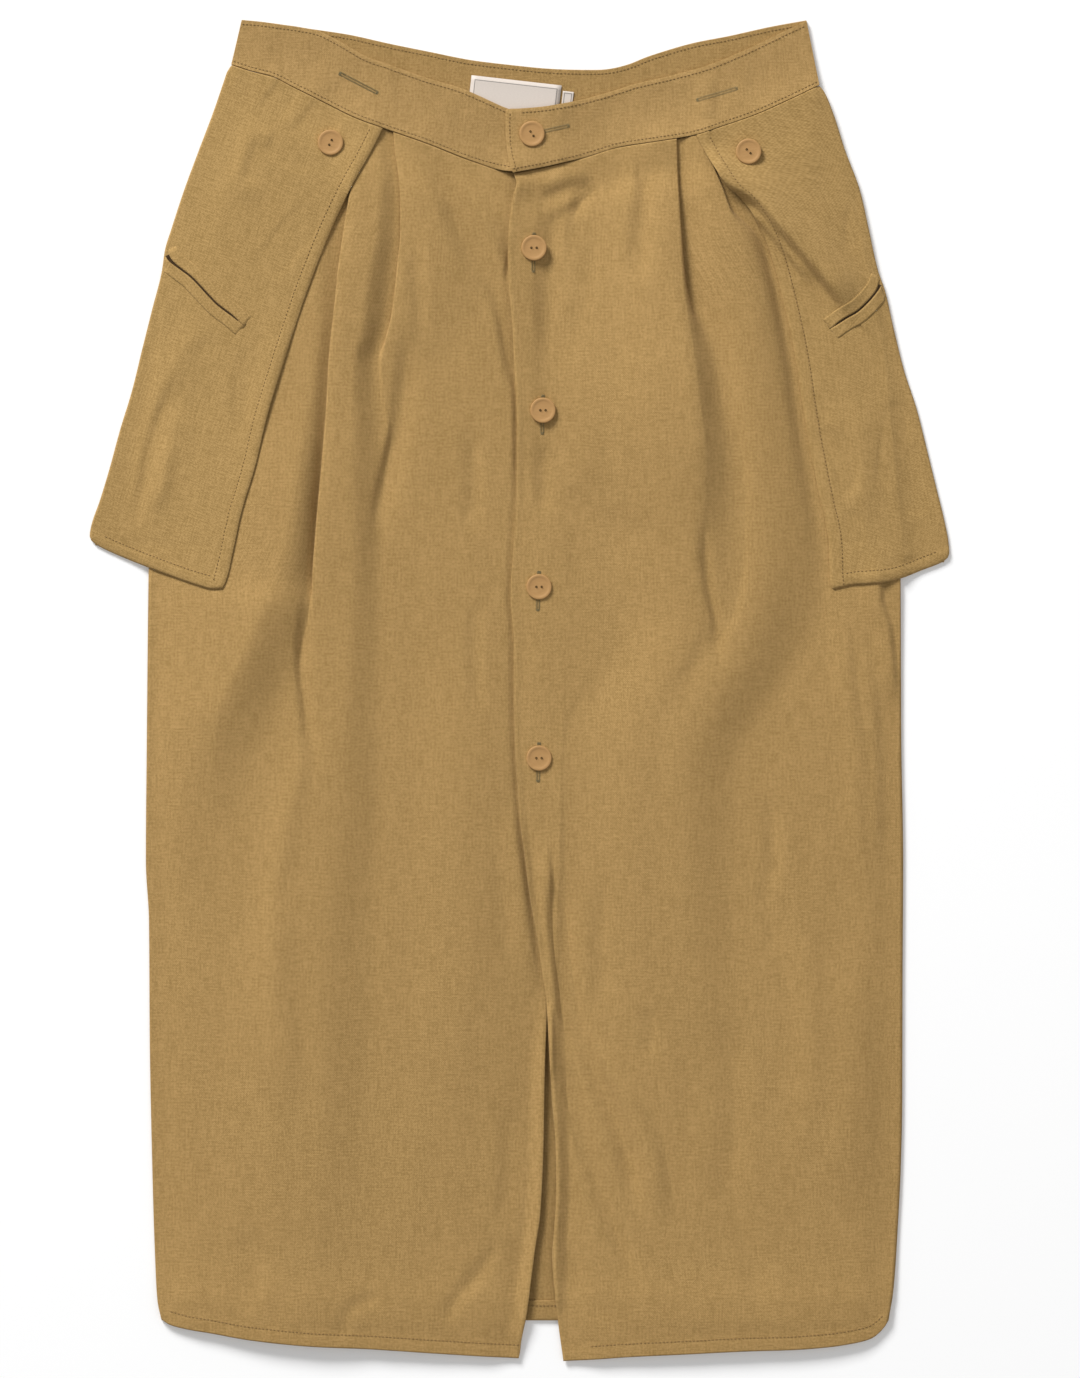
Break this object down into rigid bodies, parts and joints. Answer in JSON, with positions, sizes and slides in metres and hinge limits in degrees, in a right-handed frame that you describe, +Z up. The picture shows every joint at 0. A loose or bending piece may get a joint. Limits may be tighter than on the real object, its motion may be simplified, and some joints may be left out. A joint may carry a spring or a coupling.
{
  "type": "skirt",
  "caption": "Midi skirt laid flat, front up: shaped waistband, pleated fronts buttoned down to a hem slit, hip flaps with slanted welt pockets that wrap to the back.",
  "frame": {"origin": "middle of the footprint, on the surface the skirt lies on", "axes": "+Y to the waist, +X to the viewer's right with the front up, +Z up out of the front"},
  "size_m": [0.55, 0.858, 0.0192],
  "materials": {
    "linen": "plain-weave linen, matt, slubbed, khaki tan",
    "button": "matt corozo or wood, dished with a raised rim",
    "label": "woven, off-white, satin"
  },
  "bodies": {
    "root": {"back_panel": "linen", "front_panel_left": "linen", "front_panel_right": "linen", "waistband_back": "linen", "waistband_front_left": "linen", "waistband_front_right": "linen", "flap_left": "linen", "flap_right": "linen", "welt_left_upper": "linen", "welt_left_lower": "linen", "welt_right_upper": "linen", "welt_right_lower": "linen", "button_waist": "button", "button_placket_1": "button", "button_placket_2": "button", "button_placket_3": "button", "button_placket_4": "button", "button_flap_left": "button", "button_flap_right": "button", "label_main": "label", "label_size": "label"}
  },
  "joints": []
}
